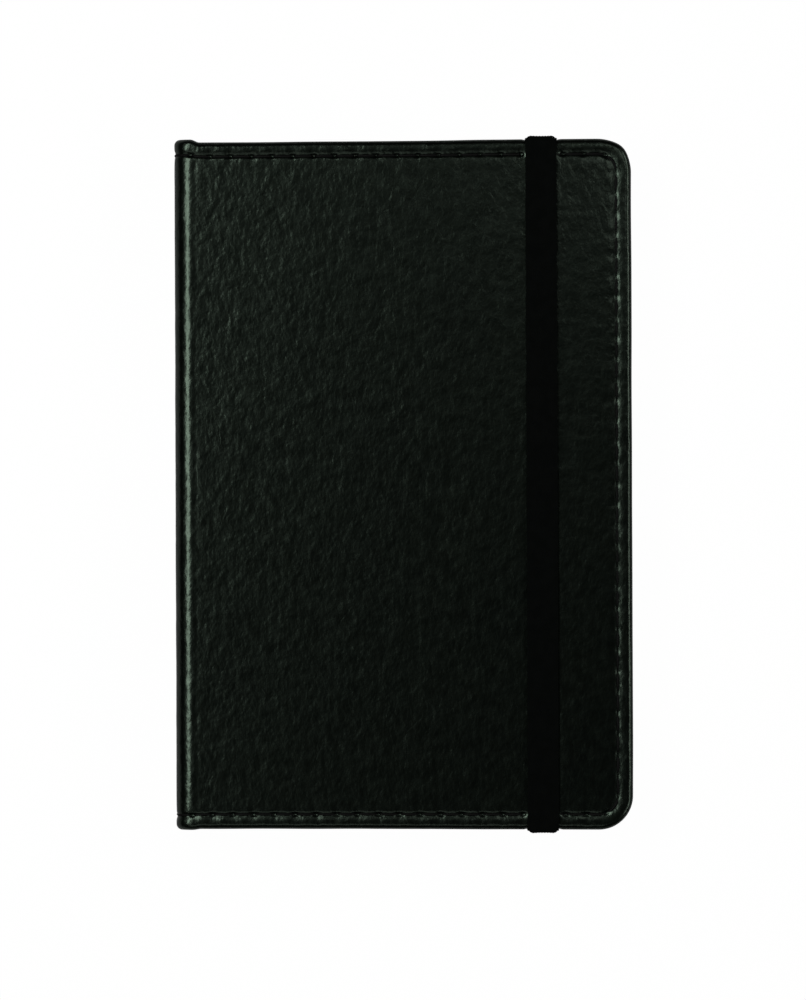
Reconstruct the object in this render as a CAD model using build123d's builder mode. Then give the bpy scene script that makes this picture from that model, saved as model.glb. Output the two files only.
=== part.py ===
"""Pocket notebook: a sewn text block in a stitched leather case, held shut by an elastic band.

The closed notebook lies on its back cover.  +X runs from the spine to the fore edge, +Y from
the tail to the head, +Z from the back cover to the front cover.  The origin is the middle of
the back cover's outer face.  The case and the band are the same at the head and the tail.
"""

from build123d import *
import math
import os

os.makedirs("parts", exist_ok=True)

# ---- Driving dimensions, in millimetres ----

# Case
case_width = 93.0  # spine face to fore edge
case_height = 140.5  # tail edge to head edge of the covers
corner_radius = 7.0  # rounded fore-edge corners of the covers
leather = 0.6
board = 1.6
pastedown = 0.4
turn_in = 3.5  # leather seen round the inside of a cover
joint_radius = 3.0  # rounded edge between a cover and the spine
head_cap = 0.6  # how far the folded leather of the spine stands past the covers
edge_softening = 0.35
spine_board_thickness = 1.2
board_relief = 0.1  # the boards stop this far from the bend of the leather

# Text block
signature_count = 12
signature_thickness = 0.76
leaf_gap = 0.02
flyleaf = 0.15
page_margin = 2.55  # covers stand past the leaves at head and tail
fore_edge_margin = 2.5
page_corner_radius = 6.0
fold_radius = 0.3
mull = 0.2
spine_lining_thickness = 0.2
thread_thickness = 0.18
thread_width = 0.5
sewing_stations = 5
headband_height = 1.6
headband_depth = 1.5

# Border seam
seam_inset = 2.9
seam_pitch = 4.25
groove_width = 0.9
groove_depth = 0.35
thread_seam_width = 0.6
thread_sink = 0.03  # the stitches lie just below the leather
needle_gap = 0.85

# Elastic band
band_width = 6.1
band_thickness = 0.65
band_clearance = 0.05
band_from_fore_edge = 15.25  # fore edge to the band's near edge
band_back_run = 8.0  # from the cover's edge to the slit in the back cover
band_tab = 10.0  # glued end under the back pastedown
band_corner = 0.6
strap_root_z = 2.0  # the band swings about this height
lower_strap = 2.0
front_run_drop = 2.0  # how far the front run's ends reach down the edges

# ---- Derived places ----

cover = leather + board + pastedown
block_height = signature_count * (signature_thickness + leaf_gap) - leaf_gap
thickness = 2 * cover + 2 * (flyleaf + 2 * leaf_gap) + block_height
spine_x = -case_width / 2
fore_x = case_width / 2
edge_y = case_height / 2
joint_x = spine_x + joint_radius  # where a cover ends and the rounded joint starts
joint_z = joint_radius
mid_plane = Plane.XY.offset(thickness / 2)

spine_board_x = spine_x + leather
lining_x = spine_board_x + spine_board_thickness
mull_x = lining_x + spine_lining_thickness
thread_x = mull_x + mull
page_x = thread_x + thread_thickness + leaf_gap
page_end_x = fore_x - fore_edge_margin
page_y = edge_y - page_margin
seam_y = edge_y - seam_inset
seam_corner = corner_radius - seam_inset

band_x = fore_x - band_from_fore_edge - band_width / 2
band_z = band_clearance  # lowest face of the band, in its channel
channel_depth = band_thickness + 2 * band_clearance
channel_half = band_width / 2 + band_clearance
pressed_half = channel_half + leather
channel_end_y = edge_y - band_back_run
slit = band_thickness + 2 * band_clearance
band_inner_y = edge_y + band_clearance
band_outer_y = band_inner_y + band_thickness
band_low = thickness + band_clearance
band_high = band_low + band_thickness
side_strap_low = strap_root_z + lower_strap
side_strap_high = thickness - front_run_drop


def finish(builder, name):
    """Label a finished piece and write it."""
    builder.part.label = name
    export_step(builder.part, f"parts/{name}.step")


def outline(left, right, half_height, radius):
    """A rectangle from x = left to x = right with its two right-hand corners rounded."""
    with BuildSketch(mode=Mode.PRIVATE) as shape:
        with Locations(((left + right) / 2, 0)):
            Rectangle(right - left, 2 * half_height)
        fillet(shape.vertices().group_by(Axis.X)[-1], radius)
    return shape.sketch


def cover_outline(inset, left=joint_x):
    """A cover's outline, inset from its head, tail and fore edges."""
    return outline(left, fore_x - inset, edge_y - inset, corner_radius - inset)


def page_outline(left=page_x):
    """A leaf's outline."""
    return outline(left, page_end_x, page_y, page_corner_radius)


def box_between(low, high, mode=Mode.ADD):
    """A box given by its lowest and highest corners, in the current part."""
    middle = (Vector(*low) + Vector(*high)) * 0.5
    size = Vector(*high) - Vector(*low)
    with Locations(middle):
        Box(size.X, size.Y, size.Z, mode=mode)


def quarter_ring(outer, inner):
    """Section of the rounded rear joint between two radii, in the XZ plane."""
    center = (joint_x, joint_z)
    with BuildSketch(Plane.XZ, mode=Mode.PRIVATE) as section:
        with BuildLine():
            bend = CenterArc(center, outer, 180, 90)
            inner_bend = CenterArc(center, inner, 180, 90)
            Line(bend @ 0, inner_bend @ 0)
            Line(bend @ 1, inner_bend @ 1)
        make_face()
    return section.sketch


def seam_faces(width):
    """The seam's band of the given width round three edges of a cover."""
    with BuildSketch(mode=Mode.PRIVATE) as ring:
        add(cover_outline(seam_inset - width / 2))
        add(cover_outline(seam_inset + width / 2), mode=Mode.SUBTRACT)
    return ring.sketch


def stitch_faces():
    """The seam's thread, broken at each needle hole."""
    with BuildLine(mode=Mode.PRIVATE) as route:
        FilletPolyline(
            (joint_x, seam_y),
            (fore_x - seam_inset, seam_y),
            (fore_x - seam_inset, -seam_y),
            (joint_x, -seam_y),
            radius=seam_corner,
        )
    path = route.wire()
    count = round(path.length / seam_pitch)
    holes = []
    for index in range(count + 1):
        place = path @ (index / count)
        along = path % (index / count)
        holes.append(Location((place.X, place.Y, 0), (0, 0, math.degrees(math.atan2(along.Y, along.X)))))
    with BuildSketch(mode=Mode.PRIVATE) as stitches:
        add(seam_faces(thread_seam_width))
        with Locations(*holes):
            Rectangle(needle_gap, 2 * thread_seam_width, mode=Mode.SUBTRACT)
    return stitches.sketch


def cover_leather():
    """The back cover's leather without its slits: outer sheet, edges and turned-in border."""
    with BuildPart() as skin:
        with BuildSketch():
            add(cover_outline(0))
        extrude(amount=cover)
        outer_edges = skin.edges().group_by(Axis.Z)[0].filter_by(lambda edge: edge.center().X > joint_x + 1)
        fillet(outer_edges, edge_softening)
        with BuildSketch(Plane.XY.offset(leather)):
            add(cover_outline(leather))
        extrude(amount=board, mode=Mode.SUBTRACT)
        with BuildSketch(Plane.XY.offset(leather + board)):
            add(cover_outline(leather + turn_in))
        extrude(amount=pastedown, mode=Mode.SUBTRACT)
        with BuildSketch():
            add(seam_faces(groove_width))
        extrude(amount=groove_depth, mode=Mode.SUBTRACT)
    return skin.part


def joint_leather():
    """The rounded strip of leather between the back cover and the spine."""
    with BuildPart() as strip:
        extrude(quarter_ring(joint_radius, joint_radius - leather), amount=edge_y + head_cap, both=True)
        arcs = strip.edges().filter_by(GeomType.CIRCLE)
        fillet(arcs.filter_by(lambda edge: edge.radius > joint_radius - leather / 2), edge_softening)
        for side in (-1, 1):
            with Locations((0, side * seam_y, 0)):
                add(seam_crossing(groove_width, 0, groove_depth), mode=Mode.SUBTRACT)
    return strip.part


def seam_crossing(width, top, depth):
    """A strip round the joint at y = 0, from one depth below the leather's face to another."""
    with BuildPart(mode=Mode.PRIVATE) as crossing:
        extrude(quarter_ring(joint_radius - top, joint_radius - depth), amount=width / 2, both=True)
    return crossing.part


def joint_stitches():
    """The two stitches that cross the rounded rear joint."""
    with BuildPart() as stitches:
        with Locations((0, seam_y, 0), (0, -seam_y, 0)):
            add(seam_crossing(thread_seam_width, thread_sink, groove_depth))
        ends = [(joint_x, 0, 0), (spine_x, 0, joint_z)]
        for place in ends:
            with Locations(place):
                Box(needle_gap, case_height, needle_gap, mode=Mode.SUBTRACT)
    return stitches.part


def board_piece():
    """A cover board without slits or recesses, where it lies in the back cover."""
    with BuildPart() as plate:
        with BuildSketch(Plane.XY.offset(leather)):
            add(cover_outline(leather, joint_x + board_relief))
        extrude(amount=board)
    return plate.part


def endpaper():
    """One folded sheet: pastedown on the back cover, fold, and flyleaf on the text block."""
    inner_face = leather + board
    flyleaf_low = cover + leaf_gap
    with BuildPart() as sheet:
        with BuildSketch(Plane.XY.offset(inner_face)):
            add(cover_outline(leather + turn_in, joint_x + board_relief))
        extrude(amount=pastedown)
        with BuildSketch(Plane.XY.offset(flyleaf_low)):
            add(page_outline())
        extrude(amount=flyleaf)
        fold_y = edge_y - leather - turn_in
        box_between((page_x, -fold_y, inner_face), (joint_x + board_relief, fold_y, flyleaf_low + flyleaf))
    return sheet.part


# ---- Case: leather ----

with BuildPart() as back_cover_leather:
    add(cover_leather())
    for side in (-1, 1):
        inner_y = side * (channel_end_y - leather)
        outer_y = side * edge_y
        box_between(
            (band_x - pressed_half, min(inner_y, outer_y), leather),
            (band_x + pressed_half, max(inner_y, outer_y), leather + channel_depth),
        )
        inner_y = side * channel_end_y
        outer_y = side * (edge_y + band_thickness)
        box_between(
            (band_x - channel_half, min(inner_y, outer_y), -leather),
            (band_x + channel_half, max(inner_y, outer_y), channel_depth),
            mode=Mode.SUBTRACT,
        )
        outer_y = side * (channel_end_y + slit)
        box_between(
            (band_x - channel_half, min(inner_y, outer_y), 0),
            (band_x + channel_half, max(inner_y, outer_y), cover),
            mode=Mode.SUBTRACT,
        )

with BuildPart() as front_cover_leather:
    mirror(cover_leather(), about=mid_plane)

with BuildPart() as rear_joint_leather:
    add(joint_leather())

with BuildPart() as front_joint_leather:
    mirror(joint_leather(), about=mid_plane)

with BuildPart() as spine_leather:
    box_between((spine_x, -edge_y - head_cap, joint_z), (spine_board_x, edge_y + head_cap, thickness - joint_z))
    for side in (-1, 1):
        cap_low = min(side * (edge_y - leather), side * (edge_y + head_cap))
        cap_high = max(side * (edge_y - leather), side * (edge_y + head_cap))
        box_between((spine_board_x, cap_low, joint_z), (lining_x, cap_high, thickness - joint_z))
    fillet(spine_leather.edges().filter_by(Axis.Z).group_by(Axis.X)[0], edge_softening)
    for side in (-1, 1):
        with Locations((spine_x + groove_depth / 2, side * seam_y, thickness / 2)):
            Box(groove_depth, groove_width, thickness, mode=Mode.SUBTRACT)

# ---- Case: boards ----

with BuildPart() as back_board:
    add(board_piece())
    board_top = leather + board
    for side in (-1, 1):
        recess_end = side * (channel_end_y - leather)
        recess_edge = side * edge_y
        box_between(
            (band_x - pressed_half, min(recess_end, recess_edge), 0),
            (band_x + pressed_half, max(recess_end, recess_edge), leather + channel_depth),
            mode=Mode.SUBTRACT,
        )
        slit_in = side * channel_end_y
        slit_out = side * (channel_end_y + slit)
        box_between(
            (band_x - channel_half, min(slit_in, slit_out), 0),
            (band_x + channel_half, max(slit_in, slit_out), board_top),
            mode=Mode.SUBTRACT,
        )
        tab_end = side * (channel_end_y - band_tab)
        box_between(
            (band_x - channel_half, min(tab_end, slit_out), board_top - band_thickness),
            (band_x + channel_half, max(tab_end, slit_out), board_top),
            mode=Mode.SUBTRACT,
        )

with BuildPart() as front_board:
    mirror(board_piece(), about=mid_plane)

with BuildPart() as spine_board:
    board_half = edge_y - leather
    box_between((spine_board_x, -board_half, joint_z), (lining_x, board_half, thickness - joint_z))

# ---- Case: border seam ----

with BuildPart() as back_border_stitching:
    with BuildSketch(Plane.XY.offset(thread_sink)):
        add(stitch_faces())
        with Locations((band_x, 0)):
            Rectangle(2 * pressed_half + needle_gap, case_height, mode=Mode.SUBTRACT)
    extrude(amount=groove_depth - thread_sink)

with BuildPart() as front_border_stitching:
    with BuildSketch(Plane.XY.offset(thickness - groove_depth)):
        add(stitch_faces())
    extrude(amount=groove_depth - thread_sink)

with BuildPart() as rear_joint_stitching:
    add(joint_stitches())

with BuildPart() as front_joint_stitching:
    mirror(joint_stitches(), about=mid_plane)

with BuildPart() as spine_stitching:
    spine_run = thickness - 2 * joint_z
    stitch_count = round(spine_run / seam_pitch)
    stitch_length = spine_run / stitch_count - needle_gap
    stitch_depth = groove_depth - thread_sink
    for side in (-1, 1):
        for index in range(stitch_count):
            height = joint_z + (index + 0.5) * spine_run / stitch_count
            with Locations((spine_x + thread_sink + stitch_depth / 2, side * seam_y, height)):
                Box(stitch_depth, thread_seam_width, stitch_length)

# ---- Text block ----

with BuildPart() as back_endpaper:
    add(endpaper())

with BuildPart() as front_endpaper:
    mirror(endpaper(), about=mid_plane)

first_leaf_z = cover + flyleaf + 2 * leaf_gap
signatures = {}
for number in range(1, signature_count + 1):
    level = signature_count - number  # number 1 lies under the front cover
    low_z = first_leaf_z + level * (signature_thickness + leaf_gap)
    with BuildPart() as signature:
        with BuildSketch(Plane.XY.offset(low_z)):
            add(page_outline())
        extrude(amount=signature_thickness)
        fillet(signature.edges().filter_by(Axis.Y).group_by(Axis.X)[0], fold_radius)
    signatures[f"signature_{number:02d}"] = signature

# ---- Spine linings and sewing ----

with BuildPart() as spine_lining:
    box_between((lining_x, -page_y, joint_z), (mull_x, page_y, thickness - joint_z))

with BuildPart() as spine_mull:
    box_between((mull_x, -page_y, joint_z), (thread_x, page_y, thickness - joint_z))

with BuildPart() as binding_thread:
    station_pitch = 2 * page_y / (sewing_stations + 1)
    with Locations((thread_x + thread_thickness / 2, 0, thickness / 2)):
        with GridLocations(1, station_pitch, 1, sewing_stations):
            Box(thread_thickness, thread_width, block_height)

headband_pieces = {}
for side, name in ((1, "head_band"), (-1, "tail_band")):
    band_middle = side * (page_y + leaf_gap + headband_height / 2)
    with BuildPart() as headband:
        with Locations((thread_x + headband_depth / 2, band_middle, thickness / 2)):
            Box(headband_depth, headband_height, block_height - 2 * fold_radius)
        rounded = headband.edges().filter_by(Axis.Z).group_by(Axis.X)[-1]
        fillet(rounded, headband_height * 0.45)
    headband_pieces[name] = headband

# ---- Elastic band ----


def band_section(points, radius):
    """A strip of band that follows points in the YZ plane on its outer face, rounded there."""
    with BuildSketch(Plane.YZ.offset(band_x), mode=Mode.PRIVATE) as section:
        with BuildLine():
            Polyline(*points, close=True)
        make_face()
        corner = section.vertices().sort_by_distance((band_x, points[0][0], points[0][1]))[0]
        fillet(corner, radius)
    return section.sketch


def anchor_strip(side):
    """The band's fixed end: glued tab, leg through the slit, run along the back, turned edge."""
    leg = side * (channel_end_y + band_clearance)
    leg_out = leg + side * band_thickness
    tab_y = side * (channel_end_y - band_tab + band_clearance)
    inner = side * band_inner_y
    outer = side * band_outer_y
    run_top = band_z + band_thickness
    tab_top = leather + board
    return band_section(
        (
            (outer, band_z),
            (outer, strap_root_z),
            (inner, strap_root_z),
            (inner, run_top),
            (leg_out, run_top),
            (leg_out, tab_top),
            (tab_y, tab_top),
            (tab_y, tab_top - band_thickness),
            (leg, tab_top - band_thickness),
            (leg, band_z),
        ),
        band_corner,
    )


anchors = {}
for side, name in ((1, "elastic_head_anchor"), (-1, "elastic_tail_anchor")):
    with BuildPart() as anchor:
        extrude(anchor_strip(side), amount=band_width / 2, both=True)
    anchors[name] = anchor


def side_straps(low, high):
    """Both upright straps of the band between two heights."""
    strap_y = (band_inner_y + band_outer_y) / 2
    with BuildPart() as straps:
        with Locations((band_x, strap_y, (low + high) / 2), (band_x, -strap_y, (low + high) / 2)):
            Box(band_width, band_thickness, high - low)
    return straps.part


with BuildPart() as elastic_lower_straps:
    add(side_straps(strap_root_z, side_strap_low))

with BuildPart() as elastic_side_straps:
    add(side_straps(side_strap_low, side_strap_high))

with BuildPart() as elastic_front_run:
    box_between(
        (band_x - band_width / 2, -band_outer_y, side_strap_high),
        (band_x + band_width / 2, band_outer_y, band_high),
    )
    top_edges = elastic_front_run.edges().filter_by(Axis.X).group_by(Axis.Z)[-1]
    fillet(top_edges, band_corner)
    box_between(
        (band_x - band_width / 2, -band_inner_y, side_strap_high),
        (band_x + band_width / 2, band_inner_y, band_low),
        mode=Mode.SUBTRACT,
    )

# ---- Write every piece ----

pieces = {
    "back_cover_leather": back_cover_leather,
    "front_cover_leather": front_cover_leather,
    "rear_joint_leather": rear_joint_leather,
    "front_joint_leather": front_joint_leather,
    "spine_leather": spine_leather,
    "back_board": back_board,
    "front_board": front_board,
    "spine_board": spine_board,
    "back_border_stitching": back_border_stitching,
    "front_border_stitching": front_border_stitching,
    "rear_joint_stitching": rear_joint_stitching,
    "front_joint_stitching": front_joint_stitching,
    "spine_stitching": spine_stitching,
    "back_endpaper": back_endpaper,
    "front_endpaper": front_endpaper,
    "spine_lining": spine_lining,
    "spine_mull": spine_mull,
    "binding_thread": binding_thread,
    "elastic_lower_straps": elastic_lower_straps,
    "elastic_side_straps": elastic_side_straps,
    "elastic_front_run": elastic_front_run,
}
pieces.update(signatures)
pieces.update(headband_pieces)
pieces.update(anchors)

for piece_name, piece in pieces.items():
    finish(piece, piece_name)

print("thickness", round(thickness, 3), "band x", round(band_x, 3), "pages end at", round(page_end_x, 3))
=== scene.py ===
"""Looks for the pocket notebook: leather case, sewn leaves, seam, elastic band, light and camera.

Lengths are in metres.  The frame lies with +X to the fore edge, +Y to the head, +Z up.
Leather, thread and band are laid out flat first, in coordinates that follow the case round
its spine, and then wrapped onto it.  The flat place is kept in each mesh as "flat", in
millimetres, so a material's grain follows the leather where it bends.
"""

import math

import bmesh
import bpy
import numpy as np
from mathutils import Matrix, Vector


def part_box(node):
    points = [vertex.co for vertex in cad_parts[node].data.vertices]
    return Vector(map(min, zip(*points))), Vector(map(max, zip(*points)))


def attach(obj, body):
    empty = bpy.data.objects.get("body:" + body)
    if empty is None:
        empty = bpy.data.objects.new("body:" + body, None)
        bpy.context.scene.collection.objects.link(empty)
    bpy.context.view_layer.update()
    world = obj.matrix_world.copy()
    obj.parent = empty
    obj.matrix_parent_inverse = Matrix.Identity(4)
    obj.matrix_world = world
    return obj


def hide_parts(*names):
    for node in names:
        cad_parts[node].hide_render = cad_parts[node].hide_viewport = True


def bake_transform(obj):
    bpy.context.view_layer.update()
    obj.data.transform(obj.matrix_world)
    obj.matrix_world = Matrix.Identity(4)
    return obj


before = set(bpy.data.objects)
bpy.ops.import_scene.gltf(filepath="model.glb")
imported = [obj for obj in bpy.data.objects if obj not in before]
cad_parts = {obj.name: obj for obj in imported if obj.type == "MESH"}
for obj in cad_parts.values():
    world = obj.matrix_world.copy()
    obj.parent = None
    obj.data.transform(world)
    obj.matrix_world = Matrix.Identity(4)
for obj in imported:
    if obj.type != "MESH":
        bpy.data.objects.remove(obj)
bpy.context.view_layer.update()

MM = 0.001

# ---- Places read from the frame ----

cover_low, cover_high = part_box("front_cover_leather")
spine_low, spine_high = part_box("spine_leather")
run_low, run_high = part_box("elastic_front_run")
straps_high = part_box("elastic_lower_straps")[1]
anchor_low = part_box("elastic_head_anchor")[0]

THICKNESS = cover_high.z
COVER = THICKNESS - cover_low.z
FORE_X = cover_high.x
EDGE_Y = cover_high.y
JOINT_X = cover_low.x
SPINE_X = spine_low.x
JOINT_R = JOINT_X - SPINE_X
HEAD_CAP = spine_high.y - EDGE_Y
CORNER_R = 7.0 * MM
SEAM_INSET = 3.1 * MM
TURN_IN = 3.5 * MM
LEATHER = 0.6 * MM

# Lengths along the flat leather, from the middle of the spine
HALF_SPINE = THICKNESS / 2 - JOINT_R
JOINT_ARC = JOINT_R * math.pi / 2
JOINT_S = HALF_SPINE + JOINT_ARC

# Seam: straight run, corner, fore edge, corner, straight run
SEAM_CORNER = CORNER_R - SEAM_INSET
SEAM_STRAIGHT = FORE_X - CORNER_R - JOINT_X
SEAM_SIDE = 2 * (EDGE_Y - CORNER_R)
SEAM_ARC = SEAM_CORNER * math.pi / 2
SEAM_LENGTH = 2 * SEAM_STRAIGHT + 2 * SEAM_ARC + SEAM_SIDE
STITCHES = 72
STITCH = SEAM_LENGTH / STITCHES
COLUMNS_PER_STITCH = 10

# Elastic band
BAND_X = (run_low.x + run_high.x) / 2
BAND_HALF = (run_high.x - run_low.x) / 2 + 0.1 * MM
BAND_THICK = straps_high.y - (EDGE_Y + 0.05 * MM)
CHANNEL_END = EDGE_Y - 8.0 * MM
CHANNEL_DEPTH = 0.56 * MM


# ---- Small tools ----


def smooth(low, high, value):
    """0 below low, 1 above high, an S curve between."""
    t = np.clip((value - low) / (high - low), 0, 1)
    return t * t * (3 - 2 * t)


def bell(value, width):
    """1 at 0, falling away over width."""
    return np.exp(-((value / width) ** 2))


def ripple(x, y, scale, seed):
    """Smooth random height over x and y, with features about scale long."""
    size = 64
    table = np.random.default_rng(seed).uniform(-1, 1, (size, size))
    # The two numbers only keep the table's corner away from the middle of the book
    u, v = np.asarray(x) / scale + 17.3, np.asarray(y) / scale + 41.7
    iu, iv = np.floor(u).astype(int), np.floor(v).astype(int)
    fu, fv = smooth(0, 1, u - iu), smooth(0, 1, v - iv)
    a, b = table[iu % size, iv % size], table[(iu + 1) % size, iv % size]
    c, d = table[iu % size, (iv + 1) % size], table[(iu + 1) % size, (iv + 1) % size]
    return (a * (1 - fu) + b * fu) * (1 - fv) + (c * (1 - fu) + d * fu) * fv


SHARP_ANGLE = math.radians(55)  # edges folded more than this stay sharp in smooth shading


def make_mesh(name, points, faces, flat=None, smooth_shading=True):
    """A mesh object from arrays of points and quads, with its flat places in millimetres."""
    data = bpy.data.meshes.new(name)
    data.from_pydata([tuple(p) for p in points], [], [tuple(int(i) for i in f) for f in faces])
    data.update()
    if flat is not None:
        layer = data.attributes.new("flat", "FLOAT_VECTOR", "POINT")
        layer.data.foreach_set("vector", (np.asarray(flat) / MM).astype(np.float32).ravel())
    if smooth_shading:
        data.shade_smooth()
        data.set_sharp_from_angle(angle=SHARP_ANGLE)
    piece = bpy.data.objects.new(name, data)
    bpy.context.scene.collection.objects.link(piece)
    return piece


def grid_quads(index, flip=False):
    """Quads over a rectangular array of vertex numbers, facing the other way with flip."""
    a, b = index[:-1, :-1].ravel(), index[1:, :-1].ravel()
    c, d = index[1:, 1:].ravel(), index[:-1, 1:].ravel()
    order = (d, c, b, a) if flip else (a, b, c, d)
    return np.stack(order, axis=1)


def tube_faces(rings, around, start):
    """Quads round a tube whose points were added ring by ring, its ends left open."""
    index = start + np.arange(rings * around).reshape(rings, around)
    closed = np.concatenate([index, index[:, :1]], axis=1)
    return grid_quads(closed)


def close_ends(piece):
    """Fill the open rings of every tube in a piece."""
    work = bmesh.new()
    work.from_mesh(piece.data)
    open_edges = [edge for edge in work.edges if edge.is_boundary]
    bmesh.ops.holes_fill(work, edges=open_edges, sides=0)
    bmesh.ops.recalc_face_normals(work, faces=work.faces)
    work.to_mesh(piece.data)
    work.free()
    piece.data.shade_smooth()


def dress(piece, material):
    """Give a piece its material."""
    piece.data.materials.clear()
    piece.data.materials.append(material)
    return piece


# ---- Case leather ----

# Distances in from a cover's edge at which the border has a row of points, closest at the seam
FLAT_INSETS = MM * np.array(
    [4.5, 4.1, 3.8, 3.55, 3.35, 3.2, 3.05, 2.9, 2.75, 2.6, 2.42, 2.22, 2.0, 1.75, 1.5, 1.3]
)
OUTER_ROUND = 1.15 * MM
INNER_ROUND = 0.45 * MM
UNDERSIDE = LEATHER + 0.02 * MM
SHOULDER = 0.30 * MM  # how much further the joint's round runs onto the cover than a quarter circle
SHOULDER_FADE = 7 * MM
PANEL_INSET = 8.5 * MM  # the middle panel ends this far in from the edges
PANEL_SHARES = (0.2, 0.4, 0.6, 0.8)  # rows of points between the panel and the border
BEYOND_SEAM = 60 * MM  # an inset that nothing near the edge reaches
JOINT_STEPS = 16
SPINE_STEPS = 8
JOINT_FOLD = 1.35 * MM  # depth of the turned-in edge where the leather bends
SPINE_FOLD = 0.55 * MM  # and how much deeper it is on the spine


def wrap(s, y, lift, front=True):
    """Flat leather (s along it from mid spine, y, lift off its face) wrapped onto the case."""
    s, y, lift = np.broadcast_arrays(s, y, lift)
    angle = np.clip((s - HALF_SPINE) / JOINT_R, 0, math.pi / 2)
    past_joint = np.maximum(s - JOINT_S, 0)
    down_spine = np.minimum(s - HALF_SPINE, 0)
    reach = JOINT_R + lift
    x = JOINT_X - reach * np.cos(angle) + past_joint
    x = x + SHOULDER * np.sin(angle) ** 2 * (1 - smooth(JOINT_S, JOINT_S + SHOULDER_FADE, s))
    z = THICKNESS - JOINT_R + reach * np.sin(angle) + down_spine
    if not front:
        z = THICKNESS - z
    return np.stack([x, y, z], axis=-1)


def flat_of(x):
    """Place along the flat leather of a point x on a cover."""
    return x - JOINT_X + JOINT_S


def rim(travel, inset):
    """Point on the line that runs inset from a cover's edge, after travel along the seam."""
    travel, inset = np.broadcast_arrays(travel, inset)
    half = SEAM_LENGTH / 2
    side = np.where(travel < half, -1.0, 1.0)  # tail first, then head
    along = np.where(travel < half, travel, SEAM_LENGTH - travel)
    turn = np.clip((along - SEAM_STRAIGHT) / SEAM_CORNER, 0, math.pi / 2)
    beyond = np.maximum(along - SEAM_STRAIGHT - SEAM_ARC, 0)
    radius = CORNER_R - inset
    x = JOINT_X + np.minimum(along, SEAM_STRAIGHT) + radius * np.sin(turn)
    y = EDGE_Y - CORNER_R + radius * np.cos(turn) - beyond
    return x, side * y


def edge_rows():
    """Rows of (inset, drop) from the flat rim, over the edge, and round the turned-in leather.

    The drop is how far below the cover's face the row lies, as a negative number.
    """
    rows = [(inset, 0.0) for inset in FLAT_INSETS]
    for angle in np.linspace(0, math.pi / 2, 8):
        rows.append((OUTER_ROUND * (1 - math.sin(angle)), -OUTER_ROUND * (1 - math.cos(angle))))
    low = -(COVER - INNER_ROUND)
    rows.append((0.0, (low - OUTER_ROUND) / 2))
    for angle in np.linspace(0, math.pi / 2, 4):
        rows.append((INNER_ROUND * (1 - math.cos(angle)), low - INNER_ROUND * math.sin(angle)))
    end = LEATHER + TURN_IN
    rows += [(end * 0.6, -COVER), (end, -COVER), (end, -COVER + 0.35 * MM)]
    rows += [(UNDERSIDE, -COVER + 0.38 * MM), (UNDERSIDE, -UNDERSIDE)]
    return rows


def seam_relief(travel, inset):
    """Height of the leather near the seam: groove, needle holes and the puffed border.

    fore is 0 along the head and the tail and 1 along the fore edge, where all of it is shallower.
    """
    off = (inset - SEAM_INSET) / MM
    phase = travel / STITCH
    number = np.clip(np.floor(phase), -4, STITCHES + 3).astype(int)
    strength = np.random.default_rng(11).uniform(0.4, 1.5, STITCHES + 8)[number + 4]
    from_hole = np.abs(phase - np.round(phase)) * STITCH / MM
    arch = np.sin(np.pi * (phase - np.floor(phase))) ** 2
    along = np.minimum(travel, SEAM_LENGTH - travel)
    fore = smooth(SEAM_STRAIGHT, SEAM_STRAIGHT + SEAM_ARC, along)
    width = np.where(off > 0, 0.34 + 0.24 * fore, 0.75 - 0.06 * fore)
    groove = -(0.19 - 0.08 * fore) * bell(off, width) - 0.04 * bell(off + 0.2, 1.0)
    hole = -(0.34 - 0.24 * fore) * bell(off, 0.36) * bell(from_hole, 0.60)
    pucker = -0.05 * bell(off + 1.0, 0.8) * bell(from_hole, 0.8)
    pucker = pucker - 0.03 * bell(off - 0.9, 0.6) * bell(from_hole, 0.7)
    border = (0.08 - 0.05 * fore) * bell(off + 1.3, 0.8) * (0.6 + 0.4 * arch * strength)
    inner = 0.02 * bell(off - 1.2, 0.7) * arch * strength
    return (groove + hole + pucker + border + inner) * MM


def leather_relief(s, y, front):
    """Slow waves, soft pebbling and upright creases over the whole leather."""
    seed = 0 if front else 100
    waves = 0.040 * ripple(s, y, 21 * MM, seed + 1) + 0.020 * ripple(s, y, 8 * MM, seed + 2)
    drag = ripple(s, y, 9 * MM, seed + 5) * 0.8 * MM
    creases = 0.016 * ripple(s + drag, y / 2.0, 1.9 * MM, seed + 3)
    pebbles = 0.014 * ripple(s + drag, y, 1.25 * MM, seed + 4)
    return (waves + creases + pebbles) * MM


def joint_relief(s, y):
    """A low ridge along the shoulder, and a faint valley where the board begins."""
    past = (s - JOINT_S) / MM
    uneven = 1 + 0.7 * ripple(y, 0 * y, 6 * MM, 21)
    return (0.020 * bell(past - 0.10, 0.6) - 0.025 * uneven * bell(past - 0.85, 0.40)) * MM


def lumps(x, y):
    """Small raised lumps on the front cover, most of them near the head."""
    places = (  # x, y, half width, half length, lean, height, in millimetres
        (-33.85, 63.3, 0.50, 1.2, 0.94, 0.09),
        (-22.2, 62.8, 0.70, 0.8, 0.0, 0.12),
        (-22.3, 60.9, 0.80, 1.2, 0.0, 0.03),
        (-15.3, 67.9, 0.50, 0.5, 0.0, 0.06),
        (-14.9, 66.0, 0.50, 0.6, 0.0, 0.04),
        (36.6, 65.3, 1.00, 1.2, 0.1, 0.11),
        (38.9, 64.7, 0.60, 0.9, 0.2, 0.05),
        (35.3, -67.9, 0.60, 0.4, 0.0, 0.06),
    )
    height = np.zeros(np.broadcast(x, y).shape)
    for across, up, width, length, lean, tall in places:
        rise = y / MM - up
        height += tall * bell(x / MM - across + lean * rise, width) * bell(rise, length)
    return height * MM


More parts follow.
